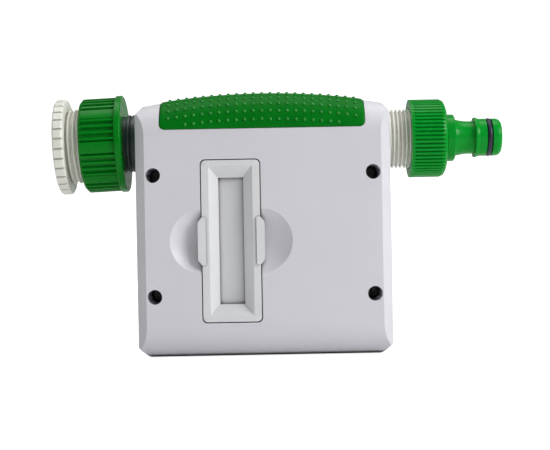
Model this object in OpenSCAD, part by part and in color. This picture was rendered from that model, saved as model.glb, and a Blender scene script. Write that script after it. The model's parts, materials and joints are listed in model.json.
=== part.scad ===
// Battery-powered drip irrigation timer: a housing with a pull-out battery drawer,
// a motor-driven ball valve in a straight water path along X, a swivel inlet nut
// with a screw-in tap adapter on the left and a quick-connect outlet on the right.
// The origin is the centre of the flat base, +Z is up, +X is the way the water
// flows, -Y is the back with the battery drawer and +Y is the front with the display.

/* [Housing] */
// Width of the housing
body_w = 111; // [109:1:114]
// Height of the housing at the middle of its arched top
body_h = 115; // [114:1:117]
// Depth of the housing
body_d = 52; // [52:1:54]
// Thickness of the moulded walls
wall = 2.4; // [2.2:0.1:2.6]
// Radius of the arched top, seen from behind
arch_r = 305; // [285:5:330]
// Radius of the long edges round the top and the bottom
edge_r = 14.5; // [13.5:0.5:15]
// Width of the slanted band down each side of the back and front faces
bevel_w = 4.4; // [3.5:0.1:5]
// Depth of that band
bevel_d = 6; // [5:0.5:7]
// Distance of the case screws from the middle of the width
screw_x = 47.5; // [47:0.1:47.8]
// Height of the lower case screws
screw_low_z = 27; // [26:0.5:29]
// Height of the upper case screws
screw_high_z = 79.5; // [78:0.5:79.5]
// Diameter of the screw wells
well_dia = 6.4; // [6:0.1:6.6]

/* [Grip] */
// Width of the soft grip over the top
grip_w = 89; // [84:1:92]
// Height of the grip's lower edge above the base
grip_low_z = 99; // [97:0.5:102]
// Thickness of the grip that is sunk into the housing
grip_sink = 1.2; // [1:0.1:1.3]
// Height of the grip above the housing's surface
grip_proud = 0.5; // [0.3:0.1:0.7]

/* [Battery drawer] */
// Middle of the drawer, sideways
drawer_x = -14.1; // [-15:0.1:-13.8]
// Middle of the drawer, in height
drawer_z = 50.7; // [50:0.1:51]
// Width of the drawer's outer plate
plate_w = 25.2; // [25:0.1:25.6]
// Height of the drawer's outer plate
plate_h = 69.7; // [69:0.1:70]
// Thickness of the outer plate's rim
plate_t = 5; // [4.8:0.1:5.2]
// Depth of the bevelled recess in the plate
recess_d = 5.5; // [5.2:0.1:5.6]
// Height of each finger tab
tab_h = 20.7; // [18:0.1:24]
// Radius of each finger scoop where it meets the back face
scoop_r = 13.9; // [12:0.1:14.5]
// Depth of each finger scoop
scoop_d = 4.5; // [4:0.1:4.6]

/* [Water path] */
// Height of the pipe's axis above the base
pipe_z = 95.1; // [95:0.1:95.6]
// Downward tilt of the swivel nut, which is loose on its neck
swivel_droop = 2.3; // [0:0.1:2.4]
// Outer diameter of the adapter's male thread, G1
inlet_thread_dia = 33.25; // [33:0.05:33.3]
// Pitch of the adapter's male thread
inlet_pitch = 2.309; // [2.309]
// Outer diameter of the outlet's male thread, G3/4
outlet_thread_dia = 26.44; // [26.4:0.01:26.5]
// Pitch of the outlet's thread
outlet_pitch = 1.814; // [1.814]
// Diameter of the swivel nut over its ribs
nut_dia = 43.5; // [43:0.1:44]
// Diameter of the adapter's knurled flange
flange_dia = 42.8; // [42:0.1:43.4]
// Diameter of the outlet connector's barrel over its ribs
barrel_dia = 35; // [34.6:0.1:35.4]
// Diameter of the quick-connect nose
nose_dia = 16.8; // [16.7:0.05:16.9]

/* [Valve and drive] */
// Middle of the ball valve, along the pipe
valve_x = 24; // [23.8:0.1:24.2]
// Diameter of the valve ball
ball_dia = 17.2; // [17:0.1:17.4]
// Size of the gear teeth: pitch diameter over number of teeth
gear_module = 0.5; // [0.5]
// Number of teeth of the small gears
small_teeth = 10; // [10]
// Number of teeth of the large gears
large_teeth = 40; // [40]

/* [Front panel] */
// Width of the display opening
display_w = 50; // [46:1:52]
// Height of the display opening
display_h = 26; // [24:1:28]
// Middle of the display above the base
display_z = 68; // [66:1:69]
// Number of push buttons in the row
button_count = 5; // [5]
// Distance between buttons
button_pitch = 17; // [15:0.5:17]
// Height of the button row above the base
button_z = 36; // [35:0.5:38]
// Diameter of each button
button_dia = 9; // [8:0.5:10]

/* [Hidden] */
$fn = 64;

housing_colour = [0.80, 0.80, 0.82];
ivory_colour = [0.86, 0.86, 0.80];
green_colour = [0.03, 0.50, 0.12];
grip_colour = [0.02, 0.42, 0.11];
neck_colour = [0.16, 0.20, 0.17];
rubber_colour = [0.08, 0.08, 0.10];
steel_colour = [0.72, 0.73, 0.75];

half_w = body_w / 2;
half_d = body_d / 2;
back_y = -half_d;
front_y = half_d;
far = 400;
gap = 0.45;
eps = 0.02;

// Place along X of the swivel nut's bearing on the neck
pivot_x = -63.4;

// A box between two corners
module slab(low, high) {
    translate(low)
        cube(high - low);
}

// A rectangle with rounded corners, about its centre
module rounded_rect(w, h, r) {
    square([w - 2 * r, h], center = true);
    square([w, h - 2 * r], center = true);
    for (sx = [-1, 1], sy = [-1, 1])
        translate([sx * (w / 2 - r), sy * (h / 2 - r)])
            circle(r);
}

// An outline in X and Z, extruded from y0 to y1
module extrude_y(y0, y1) {
    translate([0, y1, 0])
        rotate([90, 0, 0])
            linear_extrude(y1 - y0)
                children();
}

// A round bar along X, Y or Z
module bar_x(x0, x1, r) {
    translate([x0, 0, 0])
        rotate([0, 90, 0])
            cylinder(h = x1 - x0, r = r);
}

module bar_y(y0, y1, r) {
    translate([0, y0, 0])
        rotate([-90, 0, 0])
            cylinder(h = y1 - y0, r = r);
}

module bar_z(z0, z1, r) {
    translate([0, 0, z0])
        cylinder(h = z1 - z0, r = r);
}

// A profile of [radius, x] points turned round the X axis
module lathe_x(points) {
    rotate([0, 90, 0])
        rotate_extrude()
            polygon(points);
}

// A rubber ring round the X axis
module ring_x(x, r, wire) {
    translate([x, 0, 0])
        rotate([0, 90, 0])
            rotate_extrude()
                translate([r, 0])
                    circle(wire / 2, $fn = 24);
}

// Places a water-path piece on the pipe's axis
module on_pipe() {
    translate([0, 0, pipe_z])
        children();
}

// Places a piece on the drooping axis of the swivel nut
module on_swivel() {
    translate([pivot_x, 0, pipe_z])
        rotate([0, -swivel_droop, 0])
            translate([-pivot_x, 0, 0])
                children();
}

// Ridges of a thread from x0 to x1, as rings about the X axis
module thread_rings(x0, x1, root_r, crest_r, pitch) {
    crest = pitch * 0.22;
    flank = pitch * 0.72;
    count = floor((x1 - x0) / pitch);
    for (i = [0 : count - 1]) {
        x = x0 + (i + 0.5) * pitch;
        lathe_x([
            [root_r - 0.4, x - flank / 2], [root_r, x - flank / 2], [crest_r, x - crest / 2],
            [crest_r, x + crest / 2], [root_r, x + flank / 2], [root_r - 0.4, x + flank / 2]
        ]);
    }
}

// Grooves of an internal thread, to be cut out of a bore
module thread_grooves(x0, x1, bore_r, groove_r, pitch) {
    land = pitch * 0.3;
    mouth = pitch * 0.76;
    count = floor((x1 - x0) / pitch);
    for (i = [0 : count - 1]) {
        x = x0 + (i + 0.5) * pitch;
        lathe_x([
            [bore_r - 0.4, x - mouth / 2], [bore_r, x - mouth / 2], [groove_r, x - land / 2],
            [groove_r, x + land / 2], [bore_r, x + mouth / 2], [bore_r - 0.4, x + mouth / 2]
        ]);
    }
}

// A bar along X with an outline of [angle, radius] points
module ribbed_bar(x0, x1, outline) {
    translate([x0, 0, 0])
        rotate([0, 90, 0])
            linear_extrude(x1 - x0)
                polygon([for (p = outline) p[1] * [cos(p[0]), sin(p[0])]]);
}

// A tube of the given radius along a route, closed at both ends
function unit(v) = v / norm(v);
function route_tangent(route, i) =
    unit(route[min(i + 1, len(route) - 1)] - route[max(i - 1, 0)]);
function tube_ring(centre, tangent, up, r, sides) =
    let (u = unit(cross(tangent, up)), v = cross(u, tangent))
    [for (k = [0 : sides - 1]) centre + r * (cos(360 * k / sides) * u + sin(360 * k / sides) * v)];

module tube_along(route, r, up = [0, 0, 1], sides = 8) {
    last = len(route) - 1;
    points = [for (i = [0 : last]) each tube_ring(route[i], route_tangent(route, i), up, r, sides)];
    walls = [
        for (i = [0 : last - 1], k = [0 : sides - 1])
            let (n = (k + 1) % sides)
            [i * sides + k, i * sides + n, (i + 1) * sides + n, (i + 1) * sides + k]
    ];
    first_cap = [for (k = [0 : sides - 1]) sides - 1 - k];
    last_cap = [for (k = [0 : sides - 1]) last * sides + k];
    polyhedron(points, concat(walls, [first_cap, last_cap]), convexity = 4);
}

// Points of a smooth curve through a list of points
function spline_point(a, b, c, d, t) =
    0.5 * (2 * b + (c - a) * t + (2 * a - 5 * b + 4 * c - d) * t * t
        + (3 * b - a - 3 * c + d) * t * t * t);
function smooth_route(points, steps) = concat(
    [for (i = [0 : len(points) - 2], s = [0 : steps - 1])
        spline_point(points[max(i - 1, 0)], points[i], points[i + 1],
            points[min(i + 2, len(points) - 1)], s / steps)],
    [points[len(points) - 1]]);

// ---------------------------------------------------------------- Housing

// Outline seen from above, with the slanted bands at the corners
module plan_shape(inset) {
    w = half_w - inset;
    d = half_d - inset;
    linear_extrude(far)
        polygon([
            [-w, -d + bevel_d], [-w + bevel_w, -d], [w - bevel_w, -d], [w, -d + bevel_d],
            [w, d - bevel_d], [w - bevel_w, d], [-w + bevel_w, d], [-w, d - bevel_d]
        ]);
}

// Outline seen from behind, with slanted corners
module back_shape(inset) {
    w = half_w - inset;
    low = 5;
    low_z = inset;
    top_start = body_h - 9.2 - inset;
    slope_w = 7;
    slope_h = 10;
    extrude_y(-far, far)
        polygon([
            [-w + low, low_z], [w - low, low_z], [w, low_z + low],
            [w, top_start], [w - slope_w, top_start + slope_h],
            [-w + slope_w, top_start + slope_h], [-w, top_start], [-w, low_z + low]
        ]);
}

// Arched top with rounded long edges, turned round an axis along Y
module arch_shape(inset) {
    r = arch_r - inset;
    d = half_d - inset;
    e = edge_r - inset;
    translate([0, 0, body_h - arch_r])
        rotate([90, 0, 0])
            rotate_extrude($fn = 360) {
                translate([0, -d])
                    square([r - e, 2 * d]);
                translate([0, -d + e])
                    square([r, 2 * (d - e)]);
                for (side = [-1, 1])
                    translate([r - e, side * (d - e)])
                        circle(e, $fn = 96);
            }
}

// Rounded long edges of the base
module base_shape(inset) {
    d = half_d - inset;
    e = edge_r - inset;
    rotate([90, 0, 90])
        translate([0, 0, -far / 2])
            linear_extrude(far) {
                translate([-d, inset + e])
                    square([2 * d, far]);
                translate([-d + e, inset])
                    square([2 * (d - e), far]);
                for (side = [-1, 1])
                    translate([side * (d - e), inset + e])
                        circle(e, $fn = 96);
            }
}

// The housing as one solid, moved inwards by inset
module body_solid(inset) {
    intersection() {
        arch_shape(inset);
        plan_shape(inset);
        back_shape(inset);
        base_shape(inset);
    }
}

module back_half() {
    slab([-far, -far, -1], [far, 0, far]);
}

module front_half() {
    slab([-far, 0, -1], [far, far, far]);
}

// The places of the four case screws
module at_screws() {
    for (x = [-screw_x, screw_x], z = [screw_low_z, screw_high_z])
        translate([x, 0, z])
            children();
}

// The outline of the grip, right through the housing
module grip_outline(margin) {
    corner = 2.6;
    h = 40;
    extrude_y(-far / 4, far / 4)
        translate([0, grip_low_z - margin + h / 2])
            rounded_rect(grip_w + 2 * margin, h, corner);
}

// The space that the grip is moulded into
module grip_pocket() {
    difference() {
        grip_outline(eps);
        body_solid(grip_sink + eps);
    }
}

// Round holes for the two pipe ends in the side walls
module pipe_holes() {
    on_pipe() {
        bar_x(-half_w - 1, -half_w + 10, port_r + 0.2);
        bar_x(half_w - 10, half_w + 1, port_r + 0.2);
    }
}
port_r = 11.4;

// Ribs that hold the pipe between the two covers
module pipe_cradles() {
    thickness = 2;
    reach = 10.9;
    for (x = [-36, -16, 39])
        slab([x, -far, pipe_z - reach], [x + thickness, far, far]);
}

// Shape shared by both covers before they are cut
module cover_stock() {
    difference() {
        body_solid(0);
        body_solid(wall);
    }
    intersection() {
        body_solid(wall / 2);
        pipe_cradles();
    }
}

// Groove for the gasket in the joint between the covers
seal_w = 1;
seal_half = 0.8;
module seal_band(margin) {
    inset = wall / 2 - seal_w / 2 - margin;
    difference() {
        intersection() {
            body_solid(inset);
            slab([-far, -seal_half - margin, -1], [far, seal_half + margin, far]);
        }
        body_solid(inset + seal_w + 2 * margin);
        pipe_holes();
    }
}

// Screws: head at the bottom of each well, tip in the front cover's boss
head_y = -4;
head_r = 2.7;
head_h = 2;
shank_r = 1.5;
shank_len = 16;
boss_r = 4.9;

// Where the drawer's plate and its box pass through the back
box_w = 17.5;
box_h = 60;
box_end_y = 12;
well_floor_y = back_y + plate_t + 0.6;
sleeve_t = 1.2;

module at_drawer() {
    translate([drawer_x, 0, drawer_z])
        children();
}

// The two finger scoops, one on each side of the plate
scoop_sphere_r = (scoop_r * scoop_r + scoop_d * scoop_d) / (2 * scoop_d);
module scoop_spheres(extra) {
    at_drawer()
        for (side = [-1, 1])
            translate([side * plate_w / 2, back_y + scoop_d - scoop_sphere_r, 0])
                sphere(scoop_sphere_r + extra, $fn = 120);
}

module rear_cover() {
    color(housing_colour)
        difference() {
            intersection() {
                union() {
                    cover_stock();
                    at_screws()
                        bar_y(back_y, 0, boss_r);
                    scoop_spheres(1.6);
                    at_drawer() {
                        extrude_y(back_y, well_floor_y + 1.2)
                            rounded_rect(plate_w + 3, plate_h + 3, 3);
                        slab([-box_w / 2 - gap - sleeve_t, back_y, -box_h / 2 - gap - sleeve_t],
                            [box_w / 2 + gap + sleeve_t, -1, box_h / 2 + gap + sleeve_t]);
                    }
                }
                body_solid(0);
                back_half();
            }
            at_screws() {
                bar_y(back_y - 1, head_y, well_dia / 2);
                bar_y(head_y - 1, 1, shank_r + 0.2);
            }
            scoop_spheres(0);
            at_drawer() {
                extrude_y(back_y - 1, well_floor_y)
                    rounded_rect(plate_w + 2 * gap, plate_h + 2 * gap, 2.2);
                slab([-box_w / 2 - gap, back_y, -box_h / 2 - gap],
                    [box_w / 2 + gap, 1, box_h / 2 + gap]);
            }
            on_pipe()
                bar_x(-half_w + wall, half_w - wall, barrel_clear_r);
            pipe_holes();
            seal_band(eps);
            grip_pocket();
        }
}
barrel_clear_r = 10.35;

// Openings of the front panel
button_hole_r = button_dia / 2 + 0.25;
window_t = 1.6;
bezel_rim = 4;

module at_display() {
    translate([0, 0, display_z])
        children();
}

module at_buttons() {
    for (i = [0 : button_count - 1])
        translate([button_place(i), 0, button_z])
            children();
}
function button_place(i) = (i - (button_count - 1) / 2) * button_pitch;

// Places of the board's fixing screws
board_x = 38;
board_low_z = 22;
board_high_z = 80;
board_y = 14.6;
board_t = 1.6;
post_r = 2.6;
module at_board_posts() {
    for (x = [-board_x, board_x], z = [board_low_z, board_high_z])
        translate([x, 0, z])
            children();
}

module front_cover() {
    color(housing_colour)
        difference() {
            intersection() {
                union() {
                    cover_stock();
                    at_screws()
                        bar_y(0, front_y - 1, boss_r);
                    at_board_posts()
                        bar_y(board_y + board_t, front_y - 1, post_r);
                }
                body_solid(0);
                front_half();
            }
            at_screws()
                bar_y(-1, head_y + shank_len + 1.5, shank_r + eps);
            at_board_posts()
                bar_y(board_y, front_y - wall, 0.9 + eps);
            at_display() {
                extrude_y(0, front_y + 1)
                    rounded_rect(display_w, display_h, 2);
                extrude_y(front_y - window_t, front_y + 1)
                    rounded_rect(display_w + 2 * bezel_rim, display_h + 2 * bezel_rim, 4);
            }
            at_buttons()
                bar_y(0, front_y + 1, button_hole_r);
            on_pipe()
                bar_x(-half_w + wall, half_w - wall, barrel_clear_r);
            pipe_holes();
            seal_band(eps);
            grip_pocket();
        }
}

module housing_seal() {
    color(rubber_colour)
        difference() {
            seal_band(0);
            grip_pocket();
        }
}

module top_grip() {
    color(grip_colour)
        intersection() {
            grip_outline(0);
            difference() {
                body_solid(-grip_proud);
                body_solid(grip_sink);
            }
        }
}

// A pan-head screw with a cross recess, pointing along +Y from the origin
module pan_screw(head, head_len, shank, length) {
    slot = head * 0.3;
    difference() {
        union() {
            bar_y(-head_len, 0, head);
            bar_y(-eps, length, shank);
        }
        slab([-head * 0.62, -head_len - 1, -slot / 2], [head * 0.62, -head_len * 0.45, slot / 2]);
        slab([-slot / 2, -head_len - 1, -head * 0.62], [slot / 2, -head_len * 0.45, head * 0.62]);
    }
}

module case_screws() {
    color(steel_colour)
        at_screws()
            translate([0, head_y, 0])
                pan_screw(head_r, head_h, shank_r, shank_len);
}

// ---------------------------------------------------------------- Battery drawer

cell_r = 7.2;
cell_len = 49.5;
nipple_len = 1;
box_t = 1.5;
floor_t = 1.4;
cell_back_y = back_y + recess_d + floor_t + cell_r + 0.2;
cell_front_y = cell_back_y + 2 * cell_r + 0.3;
contact_t = 0.4;
box_low = -box_h / 2 + box_t;
box_high = box_h / 2 - box_t;
recess_w = plate_w - 6.3;
recess_h = plate_h - 5;

// A four-sided funnel between two rectangles, whose ends slope in further than its sides
end_share = 1.22;
module funnel(w, h, y0, side, y1) {
    hull() {
        extrude_y(y0 - eps, y0)
            square([w, h], center = true);
        extrude_y(y1 - eps, y1)
            square([w - 2 * side, h - 2 * end_share * side], center = true);
    }
}

module finger_tab(side) {
    reach = 1.8;
    inner = 1.7;
    bevel = 2.2;
    raise = 0.7;
    rib = 1.6;
    extrude_y(back_y - raise, back_y + rib)
        translate([side * plate_w / 2, 0])
            polygon([
                [-side * inner, -tab_h / 2], [0, -tab_h / 2], [side * reach, -tab_h / 2 + bevel],
                [side * reach, tab_h / 2 - bevel], [0, tab_h / 2], [-side * inner, tab_h / 2]
            ]);
}

module battery_drawer() {
    edge = 1.2;
    slope = 2.85;
    edge_y = back_y + 1;
    slope_y = back_y + 3.5;
    floor_y = back_y + recess_d;
    deep_w = recess_w - 2 * (edge + slope);
    deep_h = recess_h - 2 * end_share * (edge + slope);
    color(housing_colour)
        at_drawer()
            difference() {
                union() {
                    extrude_y(back_y, back_y + plate_t)
                        rounded_rect(plate_w, plate_h, 2);
                    finger_tab(-1);
                    finger_tab(1);
                    slab([-box_w / 2, back_y + 1, -box_h / 2], [box_w / 2, box_end_y, box_h / 2]);
                }
                funnel(recess_w, recess_h, back_y, edge, edge_y);
                funnel(recess_w - 2 * edge, recess_h - 2 * end_share * edge, edge_y, slope, slope_y);
                extrude_y(slope_y - 1, floor_y)
                    square([deep_w, deep_h], center = true);
                // Room for the cells, open on one side
                slab([-box_w, floor_y + floor_t, box_low],
                    [box_w / 2 - box_t, box_end_y - box_t, box_high]);
                // Slots for the contact tails
                for (z = [box_high - contact_t, box_low])
                    slab([-3.1, box_end_y - box_t - 1, z - eps],
                        [3.1, box_end_y + 1, z + contact_t + eps]);
            }
}

module drawer_seal() {
    y0 = back_y + plate_t;
    color(rubber_colour)
        at_drawer()
            difference() {
                extrude_y(y0, y0 + 0.5)
                    rounded_rect(box_w + 4, box_h + 6, 2.5);
                slab([-box_w / 2, y0 - 1, -box_h / 2], [box_w / 2, y0 + 1, box_h / 2]);
            }
}

// Plates at both ends: one links the cells, and two lead out through the slots
module drawer_contacts() {
    x = 3;
    start = back_y + recess_d + floor_t + 0.5;
    middle = (cell_back_y + cell_front_y) / 2;
    tail = box_end_y + 0.2;
    color(steel_colour)
        at_drawer() {
            slab([-x, start, box_low], [x, middle - 0.6, box_low + contact_t]);
            slab([-x, middle + 0.6, box_low], [x, tail, box_low + contact_t]);
            slab([-x, start, box_high - contact_t], [x, tail, box_high]);
        }
}

// A coil spring standing on Z from z0 to z1, wider at its foot
module coil_spring(z0, z1, foot_r, top_r, wire_r, turns) {
    steps = turns * 16;
    tube_along([
        for (i = [0 : steps])
            let (t = i / steps, r = foot_r + (top_r - foot_r) * t, a = 360 * turns * t)
            [r * cos(a), r * sin(a), z0 + wire_r + (z1 - z0 - 2 * wire_r) * t]
    ], wire_r, sides = 6);
}

module drawer_springs() {
    low = box_low + contact_t;
    high = box_high - contact_t;
    cell_end = high - nipple_len - cell_len;
    color(steel_colour)
        at_drawer() {
            translate([0, cell_back_y, 0])
                coil_spring(low, cell_end, 5, 3, 0.4, 4);
            translate([0, cell_front_y, 0])
                mirror([0, 0, 1])
                    coil_spring(-high, -(low + nipple_len + cell_len), 5, 3, 0.4, 4);
        }
}

// A dry cell with its plus end up, standing on Z from z0
module dry_cell(z0) {
    edge = 0.8;
    end_r = 2.75;
    color([0.75, 0.62, 0.20])
        translate([0, 0, z0])
            rotate_extrude()
                polygon([
                    [0, 0], [cell_r - edge, 0], [cell_r, edge], [cell_r, cell_len - edge],
                    [cell_r - edge, cell_len], [end_r, cell_len], [end_r, cell_len + nipple_len],
                    [0, cell_len + nipple_len]
                ]);
}

module battery_cell_back() {
    at_drawer()
        translate([0, cell_back_y, 0])
            dry_cell(box_high - contact_t - nipple_len - cell_len);
}

module battery_cell_front() {
    at_drawer()
        translate([0, cell_front_y, 0])
            mirror([0, 0, 1])
                dry_cell(-(box_low + contact_t + nipple_len + cell_len));
}

// Sprung blades on the board that the drawer's tails press against
module case_contacts() {
    color(steel_colour)
        at_drawer()
            for (z = [box_low, box_high - 5])
                slab([-2.5, box_end_y + 0.6, z], [2.5, board_y, z + 5]);
}

// ---------------------------------------------------------------- Electronics

module circuit_board() {
    margin = 3.4;
    color([0.05, 0.30, 0.12])
        difference() {
            slab([-board_x - margin, board_y, board_low_z - margin],
                [board_x + margin, board_y + board_t, board_high_z + margin]);
            at_board_posts()
                bar_y(0, front_y, 1.2);
        }
}

module board_parts() {
    top = board_y + board_t;
    color([0.10, 0.10, 0.11]) {
        slab([-8, top, 45], [2, top + 1.4, 52]);
        slab([20, top, 46], [26, top + 1.2, 52]);
        slab([-34, top, 44], [-24, top + 3.2, 48]);
        for (x = [10, 14])
            slab([x - 1, top, 47], [x + 1, top + 0.9, 50]);
    }
    color([0.20, 0.25, 0.45])
        translate([30, 0, 49])
            bar_y(top, top + 5.5, 2.5);
}

module tact_switches() {
    top = board_y + board_t;
    side = 2.2;
    color([0.12, 0.12, 0.12])
        at_buttons() {
            slab([-side, top, -side], [side, top + 1.2, side]);
            bar_y(top + 1, top + 1.7, 1.2);
        }
}

module board_screws() {
    color(steel_colour)
        at_board_posts()
            translate([0, board_y, 0])
                pan_screw(1.9, 1.1, 0.9, 6);
}

lcd_back_y = board_y + board_t + 0.4;
module lcd_panel() {
    over = 2;
    color([0.55, 0.60, 0.52])
        at_display()
            slab([-display_w / 2 - over, lcd_back_y, -display_h / 2 - over],
                [display_w / 2 + over, lcd_back_y + 2.4, display_h / 2 + over]);
}

// The clear window fills the opening inside the bezel
module display_window() {
    color([0.75, 0.85, 0.90, 0.5])
        at_display()
            extrude_y(front_y - wall, front_y - 0.2)
                rounded_rect(display_w - 0.2, display_h - 0.2, 1.9);
}

module display_bezel() {
    color([0.04, 0.45, 0.12])
        at_display()
            difference() {
                extrude_y(front_y - window_t, front_y + 0.6)
                    rounded_rect(display_w + 2 * bezel_rim - 0.2, display_h + 2 * bezel_rim - 0.2, 3.9);
                extrude_y(0, far)
                    rounded_rect(display_w, display_h, 2);
            }
}

mat_y = 19.2;
module keypad_mat() {
    reach = 7;
    w = (button_count - 1) * button_pitch + 2 * reach;
    color([0.30, 0.32, 0.33])
        translate([0, 0, button_z])
            extrude_y(mat_y, mat_y + 0.8)
                rounded_rect(w, 2 * reach, 3);
}

module push_button(i) {
    r = button_dia / 2;
    flange_r = r + 1.1;
    back = mat_y + 0.8 + 1.1;
    flange_t = 1.4;
    dome = 0.5;
    color(green_colour)
        translate([button_place(i), 0, button_z])
            rotate([-90, 0, 0])
                rotate_extrude()
                    polygon([
                        [0, back], [flange_r, back], [flange_r, back + flange_t], [r, back + flange_t],
                        [r, front_y + 0.9], [r - dome, front_y + 0.9 + dome], [0, front_y + 0.9 + dome]
                    ]);
}

module button_1() {
    push_button(0);
}

module button_2() {
    push_button(1);
}

module button_3() {
    push_button(2);
}

module button_4() {
    push_button(3);
}

module button_5() {
    push_button(4);
}

// ---------------------------------------------------------------- Water path

// Outside and inside of the straight tube between the inlet and the valve
tube_r = 10.2;
bore_r = 5.2;
spigot_bore_r = 7.5;
spigot_tail_r = 9.2;
spigot_tail_x = 13.4;
spigot_stop_x = -5;
neck_r = 12.85;
journal_r = 12.2;
journal_gap = 0.15;
collar_r = 14.4;
collar_x = -69.5;

module inlet_spigot() {
    ring_x0 = -60.5;
    ring_x1 = -59.1;
    band_x0 = -58.4;
    band_x1 = -half_w - 0.1;
    groove_r = 11.9;
    inner_x = -half_w + wall + 0.3;
    stop_x0 = spigot_stop_x - 2;
    color(neck_colour)
        on_pipe()
            difference() {
                lathe_x([
                    [0, collar_x], [collar_r, collar_x], [collar_r, collar_x + 3], [journal_r, collar_x + 3],
                    [journal_r, ring_x0], [neck_r, ring_x0], [neck_r, ring_x1], [groove_r, ring_x1],
                    [groove_r, band_x0], [neck_r, band_x0], [neck_r, band_x1], [port_r, band_x1],
                    [port_r, inner_x], [tube_r, inner_x], [tube_r, stop_x0], [tube_r + 2.4, stop_x0],
                    [tube_r + 2.4, spigot_stop_x], [spigot_tail_r, spigot_stop_x],
                    [spigot_tail_r, spigot_tail_x], [0, spigot_tail_x]
                ]);
                bar_x(collar_x - 1, spigot_tail_x + 1, spigot_bore_r);
                lathe_x(ring_groove(spigot_ring_x, spigot_tail_r, spigot_wire));
            }
}

// Section of a square groove for a rubber ring in a surface of radius r
function ring_groove(x, r, wire) =
    let (w = wire / 2 + 0.15, deep = r - wire + 0.1)
    [[deep, x - w], [r + 1, x - w], [r + 1, x + w], [deep, x + w]];

spigot_ring_x = 4;
spigot_wire = 1.7;
module spigot_ring() {
    color(rubber_colour)
        on_pipe()
            ring_x(spigot_ring_x, spigot_tail_r - spigot_wire / 2 + 0.1, spigot_wire);
}

module inlet_washer() {
    t = 2.2;
    color(rubber_colour)
        on_pipe()
            difference() {
                bar_x(collar_x - t, collar_x, collar_r);
                bar_x(collar_x - t - 1, collar_x + 1, spigot_bore_r + 1);
            }
}

// Ribs of the swivel nut: groups of narrow ribs with smooth panels between
nut_groups = 8;
nut_ribs = 4;
nut_rib_step = 7.8;
nut_rib_w = 3.6;
function nut_outline(top_r, root_r, panel_r) = [
    for (g = [0 : nut_groups - 1])
        let (start = 360 * g / nut_groups, panel_end = 360 / nut_groups - nut_ribs * nut_rib_step)
        each concat(
            [for (a = [0 : 3]) [start + panel_end * a / 3, panel_r]],
            [for (k = [0 : nut_ribs - 1])
                let (a = start + panel_end + k * nut_rib_step + (nut_rib_step - nut_rib_w) / 2)
                each [[a - 0.4, root_r], [a + 0.5, top_r], [a + nut_rib_w - 0.5, top_r],
                    [a + nut_rib_w + 0.4, root_r]]])
];

nut_x0 = -80.6;
nut_x1 = -61.7;
nut_wall_x = -65.1;
module swivel_nut() {
    top_r = nut_dia / 2;
    rib_r = top_r - 0.5;
    root_r = top_r - 1.9;
    panel_r = top_r - 1.1;
    ring_w = 3;
    bore = inlet_thread_dia / 2 + 0.35;
    color(green_colour)
        on_swivel()
            difference() {
                union() {
                    lathe_x([
                        [0, nut_x1 - ring_w], [top_r - 0.3, nut_x1 - ring_w], [top_r, nut_x1 - ring_w + 0.4],
                        [top_r, nut_x1 - 0.5], [top_r - 0.5, nut_x1], [0, nut_x1]
                    ]);
                    intersection() {
                        ribbed_bar(nut_x0, nut_x1 - ring_w + 1, nut_outline(rib_r, root_r, panel_r));
                        lathe_x([
                            [0, nut_x0], [root_r - 0.4, nut_x0], [rib_r + 1, nut_x0 + 2.6],
                            [rib_r + 1, nut_x1], [0, nut_x1]
                        ]);
                    }
                }
                bar_x(nut_x0 - 1, nut_wall_x, bore);
                bar_x(nut_wall_x - 1, nut_x1 + 1, journal_r + journal_gap);
                thread_grooves(nut_x0 + 1.5, nut_wall_x - 4, bore, bore + 1.3, inlet_pitch);
                lathe_x([
                    [bore - 1, nut_x0 - 1], [bore + 2, nut_x0 - 1], [bore - 1, nut_x0 + 2]
                ]);
            }
}

// Adapter: a knurled flange, a male thread that screws into the nut, and a socket
// with a female thread that screws onto a tap, undercut at its end for the washer
adapter_x0 = -91.6;
flange_x1 = -86.9;
adapter_x1 = -74.8;
socket_r = 12.06;
socket_x1 = -83.6;
washer_seat_x1 = -81.4;
washer_seat_r = 12.7;
sieve_bore_r = 9.2;

// Ribs round a barrel; flank and land are shares of the space that one rib takes
function knurl_outline(teeth, top_r, root_r, flank, land) = [
    for (i = [0 : teeth - 1])
        let (step = 360 / teeth, a = i * step, b = a + step * (flank + land))
        each [[a, root_r], [a + step * flank, top_r], [b, top_r], [b + step * flank, root_r]]
];

module inlet_adapter() {
    top_r = flange_dia / 2;
    root_r = top_r - 0.8;
    knurls = 30;
    thread_r = inlet_thread_dia / 2;
    thread_root = thread_r - 1.48;
    rim = 0.7;
    color(ivory_colour)
        on_swivel()
            difference() {
                union() {
                    intersection() {
                        ribbed_bar(adapter_x0, flange_x1, knurl_outline(knurls, top_r, root_r, 0.08, 0.76));
                        lathe_x([
                            [0, adapter_x0], [top_r - rim, adapter_x0], [top_r + 1, adapter_x0 + rim + 1],
                            [top_r + 1, flange_x1 - rim - 1], [top_r - rim, flange_x1], [0, flange_x1]
                        ]);
                    }
                    bar_x(flange_x1 - eps, adapter_x1, thread_root);
                    thread_rings(flange_x1 + 0.3, adapter_x1, thread_root, thread_r, inlet_pitch);
                }
                bar_x(adapter_x0 - 1, socket_x1 + eps, socket_r);
                bar_x(socket_x1, washer_seat_x1, washer_seat_r);
                bar_x(washer_seat_x1 - 1, adapter_x1 + 1, sieve_bore_r);
                thread_grooves(adapter_x0 + 0.8, socket_x1, socket_r, outlet_thread_dia / 2, outlet_pitch);
            }
}

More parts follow.
